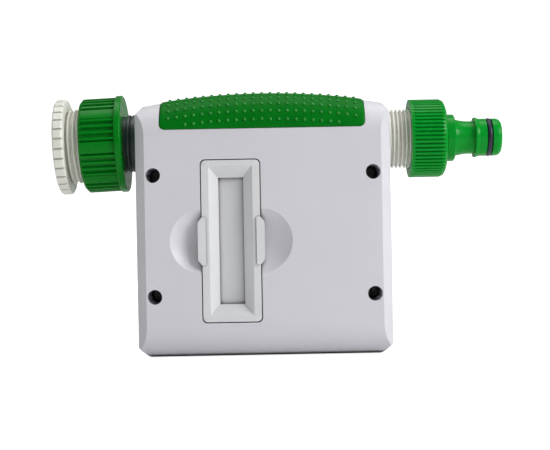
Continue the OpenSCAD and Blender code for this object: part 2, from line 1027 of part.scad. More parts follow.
// Washer in the socket's undercut, with a slotted filter cone that points inwards
module adapter_washer() {
    t = 2;
    x1 = washer_seat_x1 - 0.05;
    x0 = x1 - t;
    cone_x1 = x1 + 5.6;
    cone_r = 7.5;
    tip_r = 3.5;
    skin = 0.6;
    slots = 8;
    color(rubber_colour)
        on_swivel()
            difference() {
                union() {
                    bar_x(x0, x1, washer_seat_r - 0.1);
                    lathe_x([[0, x1 - 1], [cone_r, x1 - 1], [cone_r, x1], [tip_r, cone_x1], [0, cone_x1]]);
                }
                lathe_x([
                    [0, x0 - 1], [cone_r - skin, x0 - 1], [cone_r - skin, x1], [tip_r - skin, cone_x1 - skin],
                    [0, cone_x1 - skin]
                ]);
                for (i = [0 : slots - 1])
                    rotate([360 * i / slots, 0, 0])
                        slab([x1 + 0.8, -0.7, tip_r - skin - 0.6], [cone_x1 - 1.2, 0.7, cone_r + 1]);
            }
}

// The valve body: chamber, stem boss, foot for the gearbox, and the outlet stub
chamber_x0 = valve_x - 14;
chamber_x1 = valve_x + 13;
chamber_r = 13;
cavity_r = 9.3;
valve_inlet_x = spigot_stop_x;
stub_x1 = 75.6;
stem_r = 3;
boss_z = -22;
foot_z = -19;
foot_t = 3;
foot_screw_x = 11.5;
foot_screw_y = 6.5;
module at_foot_screws() {
    for (x = [valve_x - foot_screw_x, valve_x + foot_screw_x], y = [-foot_screw_y, foot_screw_y])
        translate([x, y, 0])
            children();
}

module valve_body() {
    thread_r = outlet_thread_dia / 2;
    thread_root = thread_r - 1.16;
    seat_x = valve_x + ball_dia / 2 + 2;
    mouth = 1.2;
    color(ivory_colour)
        on_pipe()
            difference() {
                union() {
                    bar_x(valve_inlet_x, chamber_x0 + 1, tube_r + 2.4);
                    bar_x(chamber_x0, chamber_x1, chamber_r);
                    bar_x(chamber_x1 - 1, half_w - wall - 0.3, tube_r);
                    bar_x(half_w - wall - 0.4, half_w + 0.1, port_r);
                    bar_x(half_w, stub_x1 - mouth, thread_root);
                    thread_rings(half_w + 0.1, stub_x1 - 0.9, thread_root, thread_r, outlet_pitch);
                    lathe_x([
                        [0, stub_x1 - mouth - eps], [thread_root, stub_x1 - mouth - eps],
                        [thread_root - 0.8, stub_x1], [0, stub_x1]
                    ]);
                    translate([valve_x, 0, 0]) {
                        bar_z(boss_z, -chamber_r + 2, 6.5);
                        slab([-14, -9, foot_z], [14, 9, foot_z + foot_t]);
                        for (x = [-13, 10])
                            slab([x, -1.5, foot_z + 1], [x + 3, 1.5, -chamber_r + 4]);
                    }
                }
                bar_x(valve_inlet_x - 1, seat_x, cavity_r);
                bar_x(seat_x - 1, stub_x1 + 1, bore_r + 1.8);
                translate([valve_x, 0, 0])
                    bar_z(boss_z - 1, 0, stem_r + 0.05);
                at_foot_screws()
                    bar_z(foot_z - 1, foot_z + foot_t + 1, 1.2);
            }
}

// Seats on both sides of the ball
module ball_seats() {
    seat_t = 3.2;
    color([0.92, 0.92, 0.90])
        on_pipe()
            difference() {
                for (x = [spigot_tail_x + 0.05, valve_x + ball_dia / 2 + 1.95 - seat_t])
                    bar_x(x, x + seat_t, cavity_r - 0.05);
                bar_x(0, far, bore_r + 0.3);
                translate([valve_x, 0, 0])
                    sphere(ball_dia / 2 + 0.05, $fn = 96);
            }
}

// The ball is closed at rest: its bore lies across the pipe
module valve_ball() {
    slot_w = 2.4;
    color([0.75, 0.76, 0.78])
        on_pipe()
            translate([valve_x, 0, 0])
                difference() {
                    sphere(ball_dia / 2, $fn = 96);
                    bar_y(-far, far, bore_r);
                    slab([-slot_w / 2, -4, -ball_dia], [slot_w / 2, 4, -6.4]);
                }
}

stem_low_z = 67;
stem_ring_z = pipe_z - 17;
module valve_stem() {
    tang = 2.3;
    square_w = 3.4;
    groove = 0.9;
    color([0.62, 0.60, 0.52])
        translate([valve_x, 0, 0])
            difference() {
                union() {
                    slab([-tang / 2, -2.4, pipe_z - 9.4], [tang / 2, 2.4, pipe_z - 6.6]);
                    bar_z(71, pipe_z - 9, stem_r);
                    slab([-square_w / 2, -square_w / 2, stem_low_z], [square_w / 2, square_w / 2, 71 + eps]);
                }
                translate([0, 0, stem_ring_z - groove])
                    rotate_extrude()
                        translate([stem_r - 1.2, 0])
                            square([3, 2 * groove]);
            }
}

module stem_ring() {
    wire = 0.6;
    color(rubber_colour)
        translate([valve_x, 0, stem_ring_z])
            rotate_extrude()
                translate([stem_r - wire + 0.02, 0])
                    circle(wire, $fn = 24);
}

module stem_gland() {
    z1 = pipe_z + boss_z;
    color([0.30, 0.31, 0.33])
        translate([valve_x, 0, 0])
            difference() {
                bar_z(z1 - 1.6, z1, 6.3);
                bar_z(z1 - 3, z1 + 1, stem_r + 0.1);
            }
}

// Quick-connect outlet, screwed home on the stub
barrel_x1 = 81.7;
nose_x1 = 107;
nose_ring_x = 101.6;
nose_wire = 2.4;
connector_x0 = 65.8;

module outlet_connector() {
    ribs = 60;
    top_r = barrel_dia / 2;
    root_r = top_r - 0.75;
    nose_r = nose_dia / 2;
    collar = 10.55;
    neck = 7.35;
    catch_r = 9;
    bore = outlet_thread_dia / 2 + 0.3;
    thread_end = connector_x0 + 12;
    color(green_colour)
        on_pipe()
            difference() {
                union() {
                    intersection() {
                        ribbed_bar(connector_x0, barrel_x1, knurl_outline(ribs, top_r, root_r, 0.22, 0.5));
                        lathe_x([
                            [0, connector_x0], [top_r, connector_x0], [top_r, barrel_x1 - 2.6],
                            [top_r - 0.7, barrel_x1 - 0.9], [top_r - 2.4, barrel_x1], [0, barrel_x1]
                        ]);
                    }
                    lathe_x([
                        [0, connector_x0], [top_r - 0.15, connector_x0], [top_r - 0.15, connector_x0 + 1.3],
                        [0, connector_x0 + 1.3]
                    ]);
                    lathe_x([
                        [0, barrel_x1 - 1], [10, barrel_x1 - 1], [10, 82.5], [collar, 82.5],
                        [collar, 85.6], [collar - 0.4, 86], [8.6, 86], [8.2, 87], [7.9, 88], [7.6, 89.6],
                        [neck, 91.5], [neck, 95.1], [catch_r, 95.1], [catch_r, 95.7], [nose_r, 97.2],
                        [nose_r, nose_x1 - 2.6], [nose_r - 0.1, nose_x1 - 1.6], [nose_r - 0.5, nose_x1 - 0.7],
                        [nose_r - 1.4, nose_x1], [0, nose_x1]
                    ]);
                }
                bar_x(connector_x0 - 1, thread_end, bore);
                bar_x(thread_end - 1, nose_x1 + 1, bore_r);
                thread_grooves(connector_x0 + 0.8, thread_end - 2.6, bore, bore + 1, outlet_pitch);
                lathe_x(ring_groove(nose_ring_x, nose_r, nose_wire));
            }
}

module outlet_washer() {
    x1 = connector_x0 + 11.95;
    t = 2;
    color(rubber_colour)
        on_pipe()
            difference() {
                bar_x(x1 - t, x1, outlet_thread_dia / 2 - 0.4);
                bar_x(x1 - t - 1, x1 + 1, bore_r + 1);
            }
}

module nose_ring() {
    color(rubber_colour)
        on_pipe()
            ring_x(nose_ring_x, nose_dia / 2 - nose_wire / 2 + 0.2, nose_wire);
}

// ---------------------------------------------------------------- Drive

small_r = gear_module * small_teeth / 2;
large_r = gear_module * large_teeth / 2;
gear_centre = small_r + large_r;
compound_x = valve_x + gear_centre;
case_low_z = 48;
case_split_z = 62;
low_gear_z = 50.8;
high_gear_z = 56;
lid_t = 2;
case_wall = 1.5;
axle_r = 1;

// Straight-flanked gear teeth, turned by phase degrees
function gear_outline(teeth, phase) =
    let (step = 360 / teeth, r = gear_module * teeth / 2, root = r - 1.15 * gear_module,
        tip = r + 0.9 * gear_module)
    [for (i = [0 : teeth - 1])
        let (a = i * step + phase)
        each [[a - 0.27 * step, root], [a - 0.11 * step, tip], [a + 0.11 * step, tip],
            [a + 0.27 * step, root]]];

module gear(z0, z1, teeth, phase) {
    translate([0, 0, z0])
        linear_extrude(z1 - z0)
            polygon([for (p = gear_outline(teeth, phase)) p[1] * [cos(p[0]), sin(p[0])]]);
}

// Inside of the gearbox, with a margin
module case_shape(z0, z1, margin) {
    x0 = valve_x - large_r - 1.2 - margin;
    x1 = compound_x + large_r + 1.2 + margin;
    y = large_r + 1.2 + margin;
    corner = 5;
    translate([(x0 + x1) / 2, 0, z0])
        linear_extrude(z1 - z0)
            rounded_rect(x1 - x0, 2 * y, corner);
}

module gearbox_base() {
    color([0.22, 0.22, 0.24])
        difference() {
            case_shape(case_low_z, case_split_z, case_wall);
            case_shape(case_low_z + 2, case_split_z + 1, 0);
            translate([valve_x, 0, 0])
                bar_z(case_low_z - 1, case_low_z + 3, 3.1);
            translate([compound_x, 0, 0])
                bar_z(case_low_z + 0.8, case_low_z + 3, axle_r);
        }
}

hub_r = 4;
module gearbox_lid() {
    pillar_top = pipe_z + foot_z;
    color([0.22, 0.22, 0.24])
        difference() {
            union() {
                case_shape(case_split_z, case_split_z + lid_t, case_wall);
                translate([valve_x, 0, 0])
                    bar_z(case_split_z, case_split_z + 3.4, hub_r + 1.8);
                translate([compound_x, 0, 0])
                    bar_z(case_split_z, case_split_z + 3.4, 2.6);
                at_foot_screws()
                    bar_z(case_split_z, pillar_top, 2.2);
            }
            translate([valve_x, 0, 0])
                bar_z(case_split_z - 1, case_split_z + 5, hub_r + 0.05);
            translate([compound_x, 0, 0])
                bar_z(case_split_z - 1, case_split_z + 2.4, axle_r);
            at_foot_screws()
                bar_z(pillar_top - 7, pillar_top + 1, 0.95);
        }
}

module valve_screws() {
    head_t = 1.3;
    length = 9;
    color(steel_colour)
        at_foot_screws()
            translate([0, 0, pipe_z + foot_z + foot_t])
                rotate([-90, 0, 0])
                    pan_screw(1.9, head_t, 0.92, length);
}

module gear_axle() {
    color(steel_colour)
        translate([compound_x, 0, 0])
            bar_z(case_low_z + 0.85, case_split_z + 2.35, axle_r);
}

// Gear on the valve's stem, with a lobe that works the end switch
cam_z = 66.2;
module output_gear() {
    square_w = 3.44;
    cam_r = 5;
    color([0.90, 0.90, 0.86])
        translate([valve_x, 0, 0])
            difference() {
                union() {
                    gear(high_gear_z, high_gear_z + 4, large_teeth, 0);
                    bar_z(high_gear_z, 70.8, hub_r);
                    bar_z(cam_z, cam_z + 2.4, cam_r);
                    slab([0, -1.5, cam_z], [6.4, 1.5, cam_z + 2.4]);
                }
                slab([-square_w / 2, -square_w / 2, 66.8], [square_w / 2, square_w / 2, 72]);
            }
}

module compound_gear() {
    wheel_phase = 180 / large_teeth;
    pinion_phase = 180 / small_teeth;
    color([0.90, 0.90, 0.86])
        translate([compound_x, 0, 0])
            difference() {
                union() {
                    gear(low_gear_z, low_gear_z + 3, large_teeth, wheel_phase);
                    gear(low_gear_z + 3 - eps, high_gear_z + 4.6, small_teeth, pinion_phase);
                }
                bar_z(low_gear_z - 1, case_split_z, axle_r + 0.05);
            }
}

motor_top_z = case_low_z;
motor_low_z = 23;
module motor_pinion() {
    color([0.85, 0.70, 0.30])
        translate([valve_x, 0, 0]) {
            gear(low_gear_z - 0.4, low_gear_z + 3.8, small_teeth, 0);
            bar_z(motor_top_z - 3, low_gear_z, axle_r);
        }
}

module drive_motor() {
    can_r = 10;
    flat = 7.7;
    color([0.66, 0.67, 0.69])
        translate([valve_x, 0, 0])
            difference() {
                union() {
                    intersection() {
                        bar_z(motor_low_z, motor_top_z, can_r);
                        slab([-can_r, -flat, 0], [can_r, flat, far]);
                    }
                    bar_z(motor_top_z - 1, motor_top_z + 1.5, 3);
                }
                bar_z(motor_top_z - 4, motor_top_z + 3, axle_r + 0.05);
            }
}

module motor_cap() {
    can_r = 10;
    flat = 7.7;
    t = 2.6;
    color([0.90, 0.90, 0.92])
        translate([valve_x, 0, 0]) {
            intersection() {
                bar_z(motor_low_z - t, motor_low_z, can_r);
                slab([-can_r, -flat, 0], [can_r, flat, far]);
            }
            bar_z(motor_low_z - t - 1.4, motor_low_z - t + eps, 3.2);
        }
}

module end_switch() {
    y0 = 7.4;
    color([0.12, 0.12, 0.14])
        translate([valve_x, 0, case_split_z + lid_t]) {
            slab([-5, y0, 0], [5, y0 + 3.8, 6]);
            slab([-1, y0 - 0.8, 2.6], [1, y0 + eps, 4.2]);
        }
}

// Two leads from the motor's cap to the board
module motor_leads() {
    for (side = [-1, 1])
        color(side < 0 ? [0.75, 0.08, 0.06] : [0.08, 0.08, 0.09])
            tube_along(smooth_route([
                [valve_x + side * 6, 0, 20.3], [valve_x + side * 6, 1, 17],
                [valve_x + side * 6, 6, 14.5], [valve_x + side * 5.5, 11, 16],
                [valve_x + side * 5, 13, 19.5], [valve_x + side * 5, board_y - 0.65, 23]
            ], 4), 0.6, [1, 0, 0]);
}

rear_cover();
front_cover();
housing_seal();
top_grip();
case_screws();
battery_drawer();
drawer_seal();
drawer_contacts();
drawer_springs();
battery_cell_back();
battery_cell_front();
case_contacts();
circuit_board();
board_parts();
tact_switches();
board_screws();
lcd_panel();
display_window();
display_bezel();
keypad_mat();
button_1();
button_2();
button_3();
button_4();
button_5();
inlet_spigot();
spigot_ring();
inlet_washer();
swivel_nut();
inlet_adapter();
adapter_washer();
valve_body();
ball_seats();
valve_ball();
valve_stem();
stem_ring();
stem_gland();
outlet_connector();
outlet_washer();
nose_ring();
gearbox_base();
gearbox_lid();
valve_screws();
gear_axle();
output_gear();
compound_gear();
motor_pinion();
drive_motor();
motor_cap();
end_switch();
motor_leads();
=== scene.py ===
"""Looks of a drip irrigation timer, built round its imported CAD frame."""
import json
import math

import bmesh
import bpy
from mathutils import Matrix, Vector


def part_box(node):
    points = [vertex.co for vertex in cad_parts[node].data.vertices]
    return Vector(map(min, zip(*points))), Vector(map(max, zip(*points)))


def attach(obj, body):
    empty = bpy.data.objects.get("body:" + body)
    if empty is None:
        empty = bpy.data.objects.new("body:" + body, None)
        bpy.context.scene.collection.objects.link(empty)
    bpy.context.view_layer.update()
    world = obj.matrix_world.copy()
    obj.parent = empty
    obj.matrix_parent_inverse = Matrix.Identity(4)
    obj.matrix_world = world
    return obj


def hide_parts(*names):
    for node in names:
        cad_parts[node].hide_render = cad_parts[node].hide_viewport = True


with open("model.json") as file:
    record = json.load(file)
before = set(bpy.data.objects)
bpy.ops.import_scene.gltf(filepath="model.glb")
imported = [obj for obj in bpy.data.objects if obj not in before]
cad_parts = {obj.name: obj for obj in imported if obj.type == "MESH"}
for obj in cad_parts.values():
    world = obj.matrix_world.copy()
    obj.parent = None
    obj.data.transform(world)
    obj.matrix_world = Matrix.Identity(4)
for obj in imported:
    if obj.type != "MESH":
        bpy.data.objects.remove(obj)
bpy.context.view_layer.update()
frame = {"nodes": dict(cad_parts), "record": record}
scene = bpy.context.scene
nodes = frame["nodes"]
MM = 0.001


# ---------------------------------------------------------------- Materials

def linear(r, g, b):
    """A colour given as it looks on screen, from 0 to 255, as linear light."""
    return tuple((c / 255) ** 2.2 for c in (r, g, b)) + (1.0,)


# Ambient occlusion readings that count as an open face and as a deep groove, for the painted shade in
# grooves
OPEN_FACE = 0.85
DEEP_GROOVE = 0.25


class Surface:
    """A Principled material with short calls for the nodes that give it detail."""

    def __init__(self, name, colour, roughness, **sockets):
        self.material = bpy.data.materials.new(name)
        self.material.use_nodes = True
        self.tree = self.material.node_tree
        self.shader = self.tree.nodes["Principled BSDF"]
        self.shader.inputs["Base Color"].default_value = colour
        self.shader.inputs["Roughness"].default_value = roughness
        for socket, value in sockets.items():
            self.shader.inputs[socket.replace("_", " ")].default_value = value
        self.place = self.tree.nodes.new("ShaderNodeTexCoord").outputs["Object"]
        self.normal = None

    def add(self, kind, **settings):
        node = self.tree.nodes.new(kind)
        for key, value in settings.items():
            setattr(node, key, value)
        return node

    def link(self, out, into):
        self.tree.links.new(out, into)

    def noise(self, size, detail=3.0, stretch=None):
        """Noise with features about size metres across."""
        node = self.add("ShaderNodeTexNoise")
        node.inputs["Scale"].default_value = 1 / size
        node.inputs["Detail"].default_value = detail
        place = self.place
        if stretch:
            mapping = self.add("ShaderNodeMapping")
            mapping.inputs["Scale"].default_value = stretch
            self.link(place, mapping.inputs["Vector"])
            place = mapping.outputs["Vector"]
        self.link(place, node.inputs["Vector"])
        return node.outputs["Fac"]

    def spread(self, value, low, high, start=0.3, end=0.7):
        """Maps a noise value to the range from low to high."""
        node = self.add("ShaderNodeMapRange")
        self.link(value, node.inputs["Value"])
        node.inputs["From Min"].default_value = start
        node.inputs["From Max"].default_value = end
        node.inputs["To Min"].default_value = low
        node.inputs["To Max"].default_value = high
        return node.outputs["Result"]

    def mottle(self, size, amount, tint=(1.0, 1.0, 1.0)):
        """Uneven colour: lighter and darker patches about size metres across."""
        base = Vector(self.shader.inputs["Base Color"].default_value[:3])
        mix = self.add("ShaderNodeMix", data_type="RGBA")
        dark = [max(0, c * (1 - amount) * t) for c, t in zip(base, tint)]
        light = [min(1, c * (1 + amount)) for c in base]
        mix.inputs["A"].default_value = (*dark, 1)
        mix.inputs["B"].default_value = (*light, 1)
        self.link(self.spread(self.noise(size), 0, 1), mix.inputs["Factor"])
        self.colour = mix.outputs["Result"]
        self.link(self.colour, self.shader.inputs["Base Color"])
        return self

    def painted_crevice_shade(self, reach, shade):
        """Painted shade: grooves and corners closer than reach metres, found by ambient occlusion, grow
        darker, down to shade times the colour.
        """
        near = self.add("ShaderNodeAmbientOcclusion", samples=8)
        near.inputs["Distance"].default_value = reach
        mix = self.add("ShaderNodeMix", data_type="RGBA", blend_type="MULTIPLY")
        mix.inputs["B"].default_value = (*shade, 1)
        depth = self.spread(near.outputs["AO"], 1, 0, DEEP_GROOVE, OPEN_FACE)
        self.link(depth, mix.inputs["Factor"])
        self.link(self.colour, mix.inputs["A"])
        self.colour = mix.outputs["Result"]
        self.link(self.colour, self.shader.inputs["Base Color"])
        return self

    def polish(self, size, low, high, stretch=None):
        """Roughness that wanders between low and high."""
        wander = self.spread(self.noise(size, 4.0, stretch), low, high)
        self.link(wander, self.shader.inputs["Roughness"])
        return self

    def grain(self, size, depth, strength, detail=2.0, stretch=None):
        """A bumpy surface with features about size metres across, depth metres deep."""
        bump = self.add("ShaderNodeBump")
        bump.inputs["Distance"].default_value = depth
        bump.inputs["Strength"].default_value = strength
        self.link(self.noise(size, detail, stretch), bump.inputs["Height"])
        if self.normal:
            self.link(self.normal, bump.inputs["Normal"])
        self.normal = bump.outputs["Normal"]
        self.link(self.normal, self.shader.inputs["Normal"])
        return self


def housing_plastic():
    s = Surface("housing_abs", linear(213, 212, 218), 0.46, IOR=1.5)
    # Painted shade, warm brown-black, in the seams and the screw wells
    s.mottle(30 * MM, 0.018, (1.0, 1.0, 1.01)).painted_crevice_shade(2.2 * MM, (0.17, 0.145, 0.13))
    s.polish(6 * MM, 0.40, 0.54)
    s.grain(0.45 * MM, 0.03 * MM, 0.35).grain(9 * MM, 0.05 * MM, 0.25)
    return s.material


def drawer_plastic():
    s = Surface("drawer_abs", linear(219, 220, 222), 0.40, IOR=1.5)
    # Painted shade in the drawer's grooves, and over a long reach on the floor of its deep recess
    s.mottle(20 * MM, 0.02).painted_crevice_shade(1.6 * MM, (0.22, 0.20, 0.19))
    s.painted_crevice_shade(16 * MM, (0.55, 0.55, 0.58)).polish(5 * MM, 0.34, 0.48)
    s.grain(0.5 * MM, 0.02 * MM, 0.3)
    return s.material


def grip_rubber():
    s = Surface("grip_rubber", linear(0, 112, 28), 0.46, Specular_IOR_Level=0.06)
    # Painted shade round the foot of the raised dots and in the creases
    s.mottle(12 * MM, 0.08, (0.9, 1.0, 1.0)).painted_crevice_shade(0.6 * MM, (0.6, 0.7, 0.65))
    s.polish(3 * MM, 0.36, 0.52)
    s.grain(0.35 * MM, 0.03 * MM, 0.5)
    return s.material


def dot_rubber_painted_highlight():
    """The same rubber, smoother on the raised dots, and a lighter green there as a painted highlight."""
    s = Surface("dot_rubber_painted_highlight", linear(26, 134, 44), 0.30, Specular_IOR_Level=0.45)
    s.mottle(6 * MM, 0.10).polish(2 * MM, 0.24, 0.38)
    s.grain(0.3 * MM, 0.01 * MM, 0.4)
    return s.material


def green_plastic(name, colour):
    s = Surface(name, colour, 0.24, Specular_IOR_Level=0.13)
    # Painted shade, blue-green, between the ribs and in the grooves
    s.mottle(14 * MM, 0.05, (0.9, 1.0, 0.95)).painted_crevice_shade(1.0 * MM, (0.4, 0.6, 0.55))
    s.polish(4 * MM, 0.18, 0.30)
    s.grain(0.6 * MM, 0.015 * MM, 0.35).grain(6 * MM, 0.06 * MM, 0.2)
    return s.material


def ivory_plastic():
    s = Surface("ivory_plastic", linear(232, 233, 226), 0.42, Subsurface_Weight=0.06)
    s.shader.inputs["Subsurface Radius"].default_value = (0.002, 0.0018, 0.0014)
    s.shader.inputs["Subsurface Scale"].default_value = 1.0
    # Painted shade, warm brown, in the thread valleys
    s.mottle(10 * MM, 0.03, (1.0, 0.99, 0.95)).painted_crevice_shade(1.1 * MM, (0.42, 0.38, 0.33))
    s.polish(4 * MM, 0.36, 0.52)
    s.grain(0.5 * MM, 0.02 * MM, 0.35)
    return s.material


def neck_plastic():
    s = Surface("neck_plastic", linear(48, 66, 62), 0.42)
    # Painted shade in the neck's grooves
    s.mottle(8 * MM, 0.12).painted_crevice_shade(1.2 * MM, (0.3, 0.3, 0.3)).polish(3 * MM, 0.34, 0.52)
    s.grain(0.4 * MM, 0.02 * MM, 0.4)
    return s.material


def black_rubber():
    s = Surface("black_rubber", linear(30, 31, 52), 0.42)
    s.mottle(3 * MM, 0.15).polish(1.5 * MM, 0.34, 0.55)
    s.grain(0.25 * MM, 0.012 * MM, 0.4)
    return s.material


def black_plastic():
    s = Surface("black_plastic", linear(38, 38, 41), 0.45)
    s.mottle(8 * MM, 0.12).polish(3 * MM, 0.38, 0.55)
    s.grain(0.4 * MM, 0.02 * MM, 0.4)
    return s.material


def keypad_rubber():
    s = Surface("keypad_rubber", linear(92, 96, 98), 0.6)
    s.mottle(8 * MM, 0.08).polish(3 * MM, 0.52, 0.68)
    s.grain(0.3 * MM, 0.02 * MM, 0.5)
    return s.material


# How much closer the noise of a metal lies along X, Y and Z
TURNED = (1, 1, 8)
PLATED = (1, 1, 1)


def metal(name, colour, rough, streak):
    """Turned metal with fine rings round Z, or plated metal with none."""
    s = Surface(name, colour, rough, Metallic=1.0)
    s.mottle(3 * MM, 0.06).polish(0.5 * MM, rough * 0.75, rough * 1.3, streak)
    s.grain(0.3 * MM, 0.006 * MM, 0.4, 2.0, streak)
    return s.material


def pale_plastic():
    s = Surface("pale_plastic", linear(222, 221, 210), 0.38)
    s.mottle(6 * MM, 0.03).polish(2 * MM, 0.32, 0.48)
    s.grain(0.4 * MM, 0.015 * MM, 0.35)
    return s.material


def board_mask():
    """Solder mask with faint copper tracks under it."""
    s = Surface("board_green", linear(20, 92, 44), 0.35)
    s.mottle(5 * MM, 0.12).polish(2 * MM, 0.28, 0.42)
    brick = s.add("ShaderNodeTexBrick", offset=0.35)
    brick.inputs["Scale"].default_value = 90
    brick.inputs["Mortar Size"].default_value = 0.05
    turn = s.add("ShaderNodeMapping")
    turn.inputs["Rotation"].default_value = (math.radians(90), 0, 0)
    s.link(s.place, turn.inputs["Vector"])
    s.link(turn.outputs["Vector"], brick.inputs["Vector"])
    bump = s.add("ShaderNodeBump", invert=True)
    bump.inputs["Distance"].default_value = 0.05 * MM
    s.link(brick.outputs["Fac"], bump.inputs["Height"])
    s.link(bump.outputs["Normal"], s.shader.inputs["Normal"])
    return s.material


def display_glass():
    s = Surface("lcd_glass", linear(150, 160, 138), 0.18, Coat_Weight=0.4)
    s.mottle(12 * MM, 0.03).polish(8 * MM, 0.14, 0.24)
    return s.material


def clear_window():
    s = Surface("clear_window", linear(235, 240, 240), 0.06, Transmission_Weight=0.92, IOR=1.49)
    s.polish(6 * MM, 0.04, 0.10)
    return s.material


# Where the copper-coloured band starts on each cell
BACK_BAND_Z = 64 * MM
FRONT_BAND_Z = 37 * MM


def cell_jacket(name, band_z, plus_up):
    """A plain wrapped cell: dark, with a copper-coloured band at the plus end."""
    s = Surface(name, linear(44, 44, 48), 0.32, Coat_Weight=0.5)
    s.mottle(5 * MM, 0.08).polish(2 * MM, 0.26, 0.40)
    s.grain(0.8 * MM, 0.01 * MM, 0.3)
    split = s.add("ShaderNodeSeparateXYZ")
    s.link(s.place, split.inputs["Vector"])
    above = s.add("ShaderNodeMath", operation="GREATER_THAN" if plus_up else "LESS_THAN")
    above.inputs[1].default_value = band_z
    s.link(split.outputs["Z"], above.inputs[0])
    mix = s.add("ShaderNodeMix", data_type="RGBA")
    mix.inputs["B"].default_value = linear(190, 118, 62)
    s.link(above.outputs["Value"], mix.inputs["Factor"])
    s.link(s.colour, mix.inputs["A"])
    s.link(mix.outputs["Result"], s.shader.inputs["Base Color"])
    return s.material


def lead_jacket():
    s = Surface("lead_jacket", linear(160, 40, 32), 0.4)
    s.mottle(2 * MM, 0.1).polish(1 * MM, 0.34, 0.5)
    s.grain(0.3 * MM, 0.01 * MM, 0.4)
    return s.material


materials = {
    "housing_abs": housing_plastic(),
    "grip_rubber": grip_rubber(),
    "green_plastic": green_plastic("green_plastic", linear(0, 143, 46)),
    "ivory_plastic": ivory_plastic(),
    "neck_plastic": neck_plastic(),
    "black_rubber": black_rubber(),
    "steel": metal("steel", linear(196, 198, 202), 0.30, TURNED),
    "cell_jacket": cell_jacket("cell_back_jacket", BACK_BAND_Z, True),
    "board_green": board_mask(),
    "black_plastic": black_plastic(),
    "lcd_glass": display_glass(),
    "clear_window": clear_window(),
    "keypad_rubber": keypad_rubber(),
    "seat_plastic": pale_plastic(),
    "plated_brass": metal("plated_brass", linear(205, 206, 210), 0.16, PLATED),
    "gear_plastic": pale_plastic(),
    "brass": metal("brass", linear(205, 165, 90), 0.26, TURNED),
    "lead_insulation": lead_jacket(),
}
node_slots = {row["node"]: row["material_slot"] for row in frame["record"]["subparts"]}


def put_material(obj, material):
    obj.data.materials.clear()
    obj.data.materials.append(material)


# ---------------------------------------------------------------- CAD nodes

WELD = 0.002 * MM
EDGE_SEGMENTS = 2
SHARP_ANGLE = 28


def round_edges(obj, width):
    """Welds a CAD mesh's seams and rounds its sharp edges."""
    weld = obj.modifiers.new("weld", "WELD")
    weld.merge_threshold = WELD
    bevel = obj.modifiers.new("bevel", "BEVEL")
    bevel.width = width
    bevel.segments = EDGE_SEGMENTS
    bevel.limit_method = "ANGLE"
    bevel.angle_limit = math.radians(SHARP_ANGLE)
    bevel.miter_outer = "MITER_ARC"
    for polygon in obj.data.polygons:
        polygon.use_smooth = True
    normals = obj.modifiers.new("normals", "WEIGHTED_NORMAL")
    normals.keep_sharp = True


EDGE_WIDTHS = {
    "rear_cover": 0.35, "front_cover": 0.35, "battery_drawer": 0.3, "swivel_nut": 0.22,
    "inlet_adapter": 0.18, "outlet_connector": 0.14, "valve_body": 0.12, "inlet_spigot": 0.25,
    "display_bezel": 0.3,
}
FINE_EDGE = 0.08

for name, obj in nodes.items():
    put_material(obj, materials[node_slots[name]])
    round_edges(obj, EDGE_WIDTHS.get(name, FINE_EDGE) * MM)
put_material(nodes["battery_drawer"], drawer_plastic())
put_material(nodes["battery_cell_front"], cell_jacket("cell_front_jacket", FRONT_BAND_Z, False))
put_material(nodes["swivel_nut"], green_plastic("nut_green", linear(0, 122, 32)))
# The case screws get a dark steel
put_material(nodes["case_screws"], metal("dark_screw_steel", linear(70, 68, 66), 0.34, TURNED))


# ---------------------------------------------------------------- Soft grip

GRIP_ARCH_R = 305.5 * MM
GRIP_EDGE_R = 15 * MM
GRIP_CORNER_R = 2.6 * MM
GRIP_RIM_R = 1.1 * MM
GRIP_THICKNESS = 1.7 * MM
GRIP_SIDE = 16 * MM
GRIP_STEPS_ACROSS = 60
GRIP_STEPS_ALONG = 72
RIM_SHARE = 0.03
RIM_STEPS = 8
RIM_EASE = 1.6
DOT_PITCH_X = 3.68 * MM
DOT_PITCH_Y = 3.84 * MM
DOT_COLUMNS = 23
DOT_ROWS = 18
DOT_R = 0.74 * MM
DOT_HEIGHT = 0.62 * MM
DOT_SINK = 0.15 * MM
DOT_RINGS = 4
DOT_SIDES = 12
DOT_MARGIN = 2.0 * MM


